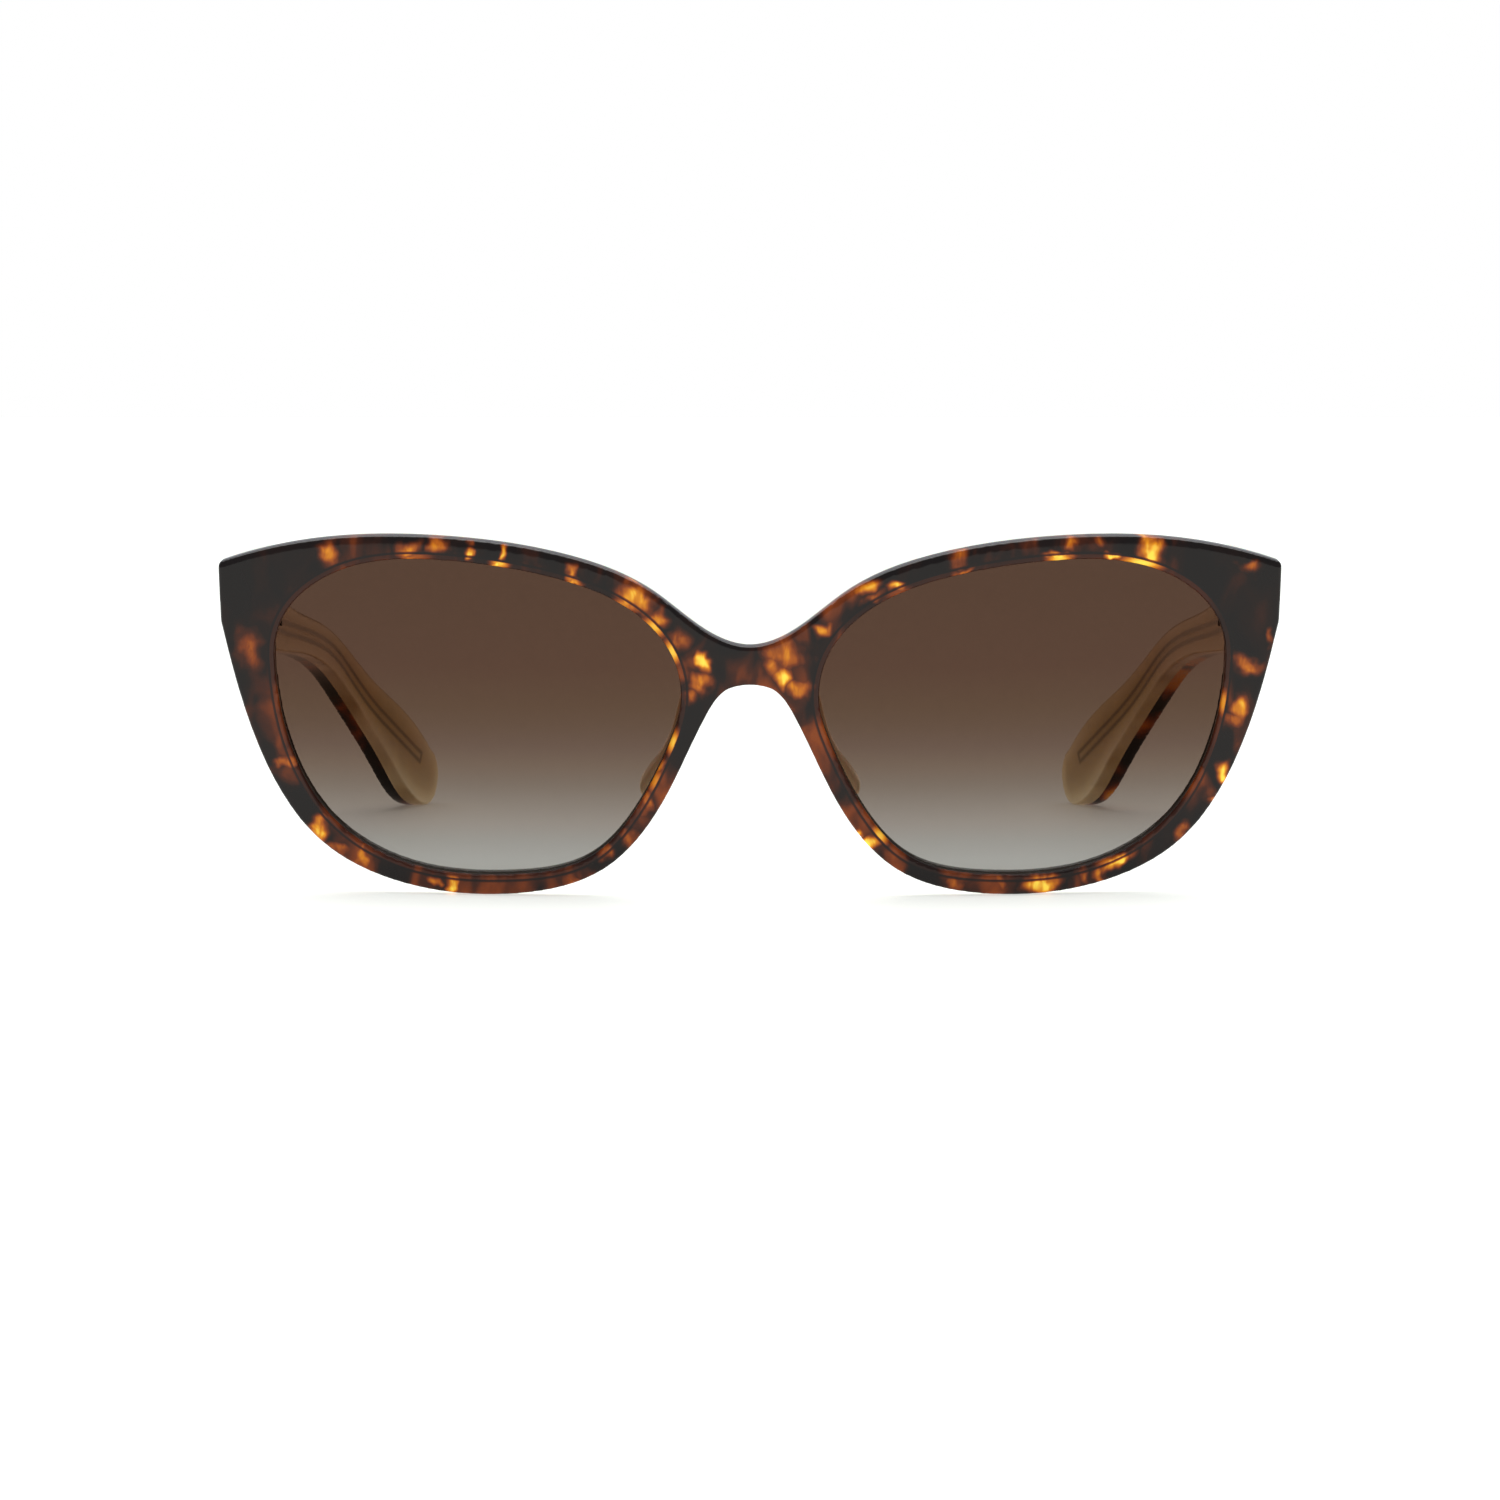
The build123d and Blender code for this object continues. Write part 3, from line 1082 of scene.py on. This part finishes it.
@dataclass
class Temple:
    """A temple: tortoise outside, clear champagne inside, polished as one body over its core wire.

    Attributes:
        side: which temple.
        inner: thickness of the clear layer.
        spread: plan view of the right temple's inner face, as X and Y.
        polish: how its edges are rounded.
        wire_reach: how far from the core wire's edges its outline is marked.
        blade_reach: how far from the blade's outline the painted light along its edges is marked.
        ends: Y of both ends of the wall that splits it.
        stations: how many straight pieces the wall's curve has.
    """

    side: Side
    inner: float = 1.9
    spread: tuple[tuple[float, float], ...] = (
        (65.3, -54.72),
        (64.2, -22.32),
        (62.3, 17.68),
        (60.2, 35.68),
        (54.6, 52.68),
        (48.2, 71.18),
    )
    polish: TumblePolish = field(default_factory=lambda: TumblePolish(0.2, 28))
    wire_reach: float = 1.5
    blade_reach: float = 4.0
    ends: tuple[float, float] = (-56.0, 72.0)
    stations: int = 64

    def build(self) -> None:
        """Makes both layers, dresses them and reports them."""
        label = self.side.label
        body = f"temple_{label}"
        inside = f"temple_inner_{label}"
        outside = f"temple_outer_{label}"
        whole = copy_of(f"temple_whole_{label}", [outside, inside, f"core_wire_{label}"])
        self.polish.polish(whole)
        wall = self._wall()
        outer = split_layer(whole, f"polished_outer_{label}", wall, Layer.INSIDE)
        inner = split_layer(whole, f"polished_inner_{label}", wall, Layer.OUTSIDE)
        for spare in (whole, wall):
            bpy.data.objects.remove(spare)
        wire = edge_points(f"core_wire_{label}")
        mark_near(inner, "wire", wire, self.wire_reach, flat=True)
        mark_near(inner, "blade", edge_points(outside), self.blade_reach, flat=True)
        tortoise = TortoiseAcetate(mottle=6.0, richness=0.8)
        crystal = CrystalAcetate()
        finish_piece(
            outer,
            tortoise.material(f"tortoise acetate temple, polished, {label}"),
            body,
            [outside],
        )
        finish_piece(
            inner,
            crystal.material(f"crystal acetate, polished, {label}"),
            body,
            [inside],
        )

    def _across(self, along: np.ndarray) -> np.ndarray:
        """X of the surface that the layers share, as a natural cubic curve through the spread."""
        known = np.array(self.spread)
        y, x = known[:, 1], known[:, 0]
        step = np.diff(y)
        rows = np.eye(len(y))
        target = np.zeros(len(y))
        for i in range(1, len(y) - 1):
            rows[i, i - 1 : i + 2] = step[i - 1], 2 * (step[i - 1] + step[i]), step[i]
            target[i] = 6 * ((x[i + 1] - x[i]) / step[i] - (x[i] - x[i - 1]) / step[i - 1])
        bend = np.linalg.solve(rows, target)
        i = np.clip(np.searchsorted(y, along) - 1, 0, len(step) - 1)
        low, high = along - y[i], y[i + 1] - along
        curve = (bend[i] * high**3 + bend[i + 1] * low**3) / (6 * step[i])
        curve += (x[i] / step[i] - bend[i] * step[i] / 6) * high
        curve += (x[i + 1] / step[i] - bend[i + 1] * step[i] / 6) * low
        return curve + self.inner

    def _wall(self) -> bpy.types.Object:
        """A thick wall whose near face is the surface that the layers share."""
        start, end = self.ends
        deselect_all()
        bpy.ops.mesh.primitive_cube_add(size=1.0)
        wall = bpy.context.view_layer.objects.active
        wall.scale = (30 * MM, (end - start) * MM, 60 * MM)
        wall.location = (15 * MM, (start + end) / 2 * MM, 20 * MM)
        bpy.ops.object.transform_apply(location=True, rotation=True, scale=True)
        bpy.ops.object.mode_set(mode="EDIT")
        for i in range(1, self.stations):
            bpy.ops.mesh.select_all(action="SELECT")
            y = start + (end - start) * i / self.stations
            bpy.ops.mesh.bisect(plane_co=(0, y * MM, 0), plane_no=(0, 1, 0))
        bpy.ops.object.mode_set(mode="OBJECT")
        points = np.empty(len(wall.data.vertices) * 3)
        wall.data.vertices.foreach_get("co", points)
        points = points.reshape(-1, 3)
        points[:, 0] += self._across(points[:, 1] / MM) * MM
        points[:, 0] *= self.side.value
        wall.data.vertices.foreach_set("co", points.ravel())
        if self.side is Side.LEFT:
            activate(wall)
            bpy.ops.object.mode_set(mode="EDIT")
            bpy.ops.mesh.select_all(action="SELECT")
            bpy.ops.mesh.flip_normals()
            bpy.ops.object.mode_set(mode="OBJECT")
        wall.data.update()
        return wall


@dataclass
class Metalwork:
    """The hinge halves, screws, core wires and inlays, whose shapes the CAD nodes already have."""

    hinge: HingeMetal = field(default_factory=HingeMetal)
    inlay: HingeMetal = field(default_factory=lambda: HingeMetal("#c8ab72", 0.15, 0.15))

    def dress(self) -> None:
        """Gives each metal node its finish."""
        satin = self.hinge.material("nickel silver, barrel finished")
        gold = self.inlay.material("pale gold plate, polished")
        for side in Side:
            for kind in ("front_hinge", "temple_hinge", "hinge_screw", "core_wire"):
                dress_node(f"{kind}_{side.label}", satin)
            dress_node(f"tip_inlay_{side.label}", gold)


@dataclass
class Studio:
    """White light table, soft light from above and all round, and the camera.

    Attributes:
        distance: from the camera to the front's origin, along Y.
        height: of the camera over the floor.
        pitch: how far the camera looks down, in degrees.
        focal: focal length on a 36 mm sensor.
        sky: strength of the light from all round.
        sun: strength of the soft light from above.
        sun_width: how wide that light is in the sky, in degrees, which softens its shadows.
        sun_behind: how far behind overhead it is, in degrees.
        table: width of the light table, in metres.
        gap: how far under the part the table is, in metres, so that they don't share a surface.
        origin: Y of the front's origin.
    """

    distance: float = 646.6
    height: float = 72.0
    pitch: float = 4.658
    focal: float = 120.4
    sky: float = 0.42
    sun: float = 3.0
    sun_width: float = 70.0
    sun_behind: float = 18.0
    table: float = 8.0
    gap: float = 0.00005
    origin: float = -67.32

    def build(self) -> None:
        """Makes the floor, the lights, the background and the camera."""
        self._floor()
        self._lights()
        self._background()
        self._camera()
        bpy.context.scene.view_settings.view_transform = "Standard"

    def _floor(self) -> None:
        """An opal table that reaches past the picture on every side."""
        deselect_all()
        bpy.ops.mesh.primitive_plane_add(size=self.table, location=(0.0, 0.0, -self.gap))
        floor = bpy.context.view_layer.objects.active
        floor.name = "light_table"
        floor.data.materials.append(LightTable().material("opal acrylic, lit from below"))

    def _lights(self) -> None:
        """One large soft light overhead, a little behind, so that shadows fall to the front."""
        lamp = bpy.data.lights.new("overhead", "SUN")
        lamp.energy = self.sun
        lamp.angle = math.radians(self.sun_width)
        holder = bpy.data.objects.new("overhead", lamp)
        holder.rotation_euler = (math.radians(-self.sun_behind), 0.0, 0.0)
        bpy.context.scene.collection.objects.link(holder)

    def _background(self) -> None:
        """Pure white where the camera looks past the table, and a softer grey as light."""
        world = bpy.data.worlds.new("studio")
        world.use_nodes = True
        tree = world.node_tree
        tree.nodes.clear()
        seen = add_node(tree, "ShaderNodeBackground", {"Color": srgb("#ffffff"), "Strength": 1.0})
        light = add_node(
            tree, "ShaderNodeBackground", {"Color": srgb("#f4f8ff"), "Strength": self.sky}
        )
        ray = add_node(tree, "ShaderNodeLightPath")
        both = add_node(
            tree,
            "ShaderNodeMixShader",
            links={0: ray.outputs["Is Camera Ray"], 1: light, 2: seen},
        )
        add_node(tree, "ShaderNodeOutputWorld", links={"Surface": both})
        bpy.context.scene.world = world

    def _camera(self) -> None:
        """A long lens straight in front, a little above the floor."""
        lens = bpy.data.cameras.new("camera")
        lens.lens = self.focal
        lens.sensor_width = 36.0
        lens.clip_start = 0.01
        lens.clip_end = 50.0
        holder = bpy.data.objects.new("camera", lens)
        holder.location = (0.0, (self.origin - self.distance) * MM, self.height * MM)
        holder.rotation_euler = (math.radians(90 - self.pitch), 0.0, 0.0)
        bpy.context.scene.collection.objects.link(holder)
        bpy.context.scene.camera = holder


# The amber clouds of the front. With the list below they stay under about 75, since a material with
# many more nodes than that is too big for the renderer and comes out black.
FLECKS: tuple[Fleck, ...] = (
    Fleck(-65.2, 32.2, 1.9, 2.6, 0.5),
    Fleck(-60.7, 17.2, 1.4, 0.8, 0.6),
    Fleck(-56.4, 8.5, 1.6, 1.4, 0.8, -30),
    Fleck(-53.9, 5.8, 2.0, 0.9, 0.5, 35),
    Fleck(-50.7, 4.9, 1.0, 1.8, 0.68, 20),
    Fleck(-41.4, 2.1, 1.0, 1.0, 0.66),
    Fleck(-38.9, 1.5, 1.0, 1.5, 0.95),
    Fleck(-23.1, 1.9, 1.6, 0.9, 0.5),
    Fleck(-18.8, 6.0, 0.9, 0.9, 0.5),
    Fleck(-15.4, 7.8, 1.2, 1.4, 0.5),
    Fleck(-13.6, 12.2, 1.0, 1.6, 0.62, 25),
    Fleck(-11.8, 16.7, 0.7, 2.0, 0.66, 25),
    Fleck(-54.6, 44.5, 1.2, 1.6, 0.64, -20),
    Fleck(-44.1, 45.4, 1.6, 1.1, 0.66),
    Fleck(-40.2, 45.9, 1.2, 1.3, 0.74, -15),
    Fleck(-43.2, 44.3, 2.0, 0.5, 0.58),
    Fleck(-36.4, 44.4, 0.7, 0.7, 0.88),
    Fleck(-36.3, 46.1, 0.5, 0.8, 0.48),
    Fleck(-32.0, 45.0, 0.5, 1.4, 0.8, 10),
    Fleck(-32.4, 43.4, 1.2, 0.6, 0.95),
    Fleck(-22.8, 42.0, 0.6, 1.3, 0.66),
    Fleck(-22.7, 41.1, 1.2, 0.5, 0.7),
    Fleck(-14.9, 39.5, 2.4, 1.5, 0.82, 35),
    Fleck(-12.2, 36.7, 1.5, 1.2, 0.74, 35),
    Fleck(-9.0, 33.6, 1.4, 1.6, 0.5),
    Fleck(-6.1, 30.6, 0.7, 1.6, 0.9, -10),
    Fleck(-6.5, 28.1, 2.0, 1.0, 0.66),
    Fleck(-7.7, 26.7, 1.0, 0.8, 0.55),
    Fleck(4.5, 32.2, 2.4, 2.2, 0.64),
    Fleck(4.5, 29.0, 1.8, 1.4, 0.92),
    Fleck(6.8, 27.6, 1.6, 1.2, 0.68),
    Fleck(2.7, 30.4, 1.2, 2.0, 0.6),
    Fleck(9.8, 34.9, 1.4, 0.9, 0.8),
    Fleck(15.0, 40.4, 1.6, 1.1, 0.74, -30),
    Fleck(18.6, 40.4, 1.2, 0.8, 0.86),
    Fleck(15.9, 38.8, 1.8, 0.6, 0.5, -30),
    Fleck(26.8, 44.5, 1.2, 1.5, 0.52),
    Fleck(27.3, 42.7, 1.4, 0.5, 0.6),
    Fleck(40.0, 44.3, 2.0, 0.7, 0.92),
    Fleck(41.4, 46.1, 1.2, 1.0, 0.58),
    Fleck(45.0, 45.9, 1.0, 1.1, 0.52),
    Fleck(46.4, 44.0, 1.0, 0.6, 0.9),
    Fleck(51.9, 44.9, 1.6, 1.9, 1.0),
    Fleck(65.1, 42.6, 1.6, 1.0, 0.52),
    Fleck(68.0, 33.1, 0.5, 1.0, 0.5),
    Fleck(65.1, 29.9, 2.0, 0.9, 0.57),
    Fleck(64.2, 24.0, 1.4, 1.8, 0.76),
    Fleck(63.3, 22.6, 1.6, 1.0, 0.6),
    Fleck(62.0, 16.0, 0.9, 1.2, 0.97),
    Fleck(60.3, 12.4, 0.8, 0.7, 0.62),
    Fleck(56.9, 8.3, 1.2, 0.8, 0.57, -35),
    Fleck(48.2, 4.2, 2.4, 0.9, 0.86, -25),
    Fleck(43.2, 2.6, 1.0, 1.2, 0.5),
    Fleck(45.5, 2.8, 0.8, 1.0, 0.6),
    Fleck(37.8, 1.5, 1.9, 1.5, 1.0),
    Fleck(32.7, 1.5, 0.8, 1.2, 0.54),
    Fleck(26.8, 1.2, 1.4, 1.2, 0.52),
    Fleck(15.4, 7.1, 1.2, 1.3, 0.87, 35),
    Fleck(14.2, 8.7, 0.6, 0.9, 0.9),
)


# Painted light: where light from behind comes through the bevel round the lens openings.
BEVEL_GLOW_PATCHES: tuple[Fleck, ...] = (
    Fleck(-16.3, 38.1, 2.0, 1.5, 0.75),
    Fleck(-12.2, 35.4, 2.4, 2.0, 0.92),
    Fleck(-9.9, 32.2, 1.8, 2.4, 0.97),
    Fleck(-9.9, 20.4, 1.4, 2.4, 0.92),
    Fleck(-12.2, 15.3, 1.6, 2.4, 0.75),
    Fleck(-32.2, 43.6, 1.6, 1.2, 0.95),
    Fleck(-43.2, 44.3, 3.0, 1.0, 0.55),
    Fleck(-61.5, 20.0, 2.0, 9.0, 0.4),
    Fleck(40.0, 44.0, 2.2, 1.2, 0.95),
    Fleck(51.0, 43.5, 4.0, 1.6, 1.0),
    Fleck(19.1, 39.7, 3.0, 1.5, 0.5),
    Fleck(61.9, 24.9, 1.0, 2.4, 0.8),
    Fleck(16.8, 8.1, 1.8, 2.0, 0.92),
    Fleck(47.3, 4.0, 2.6, 1.2, 0.75),
    Fleck(61.5, 20.0, 2.0, 8.0, 0.34),
)


def main() -> None:
    """Builds the sunglasses and the studio, in order."""
    logging.basicConfig(level=logging.INFO, format="%(relativeCreated)6d ms  %(message)s")
    Studio().build()
    Front().build()
    for side in Side:
        NosePad(side).build()
        Lens(side).build()
        Temple(side).build()
    Metalwork().dress()


if __name__ == "__main__":
    main()
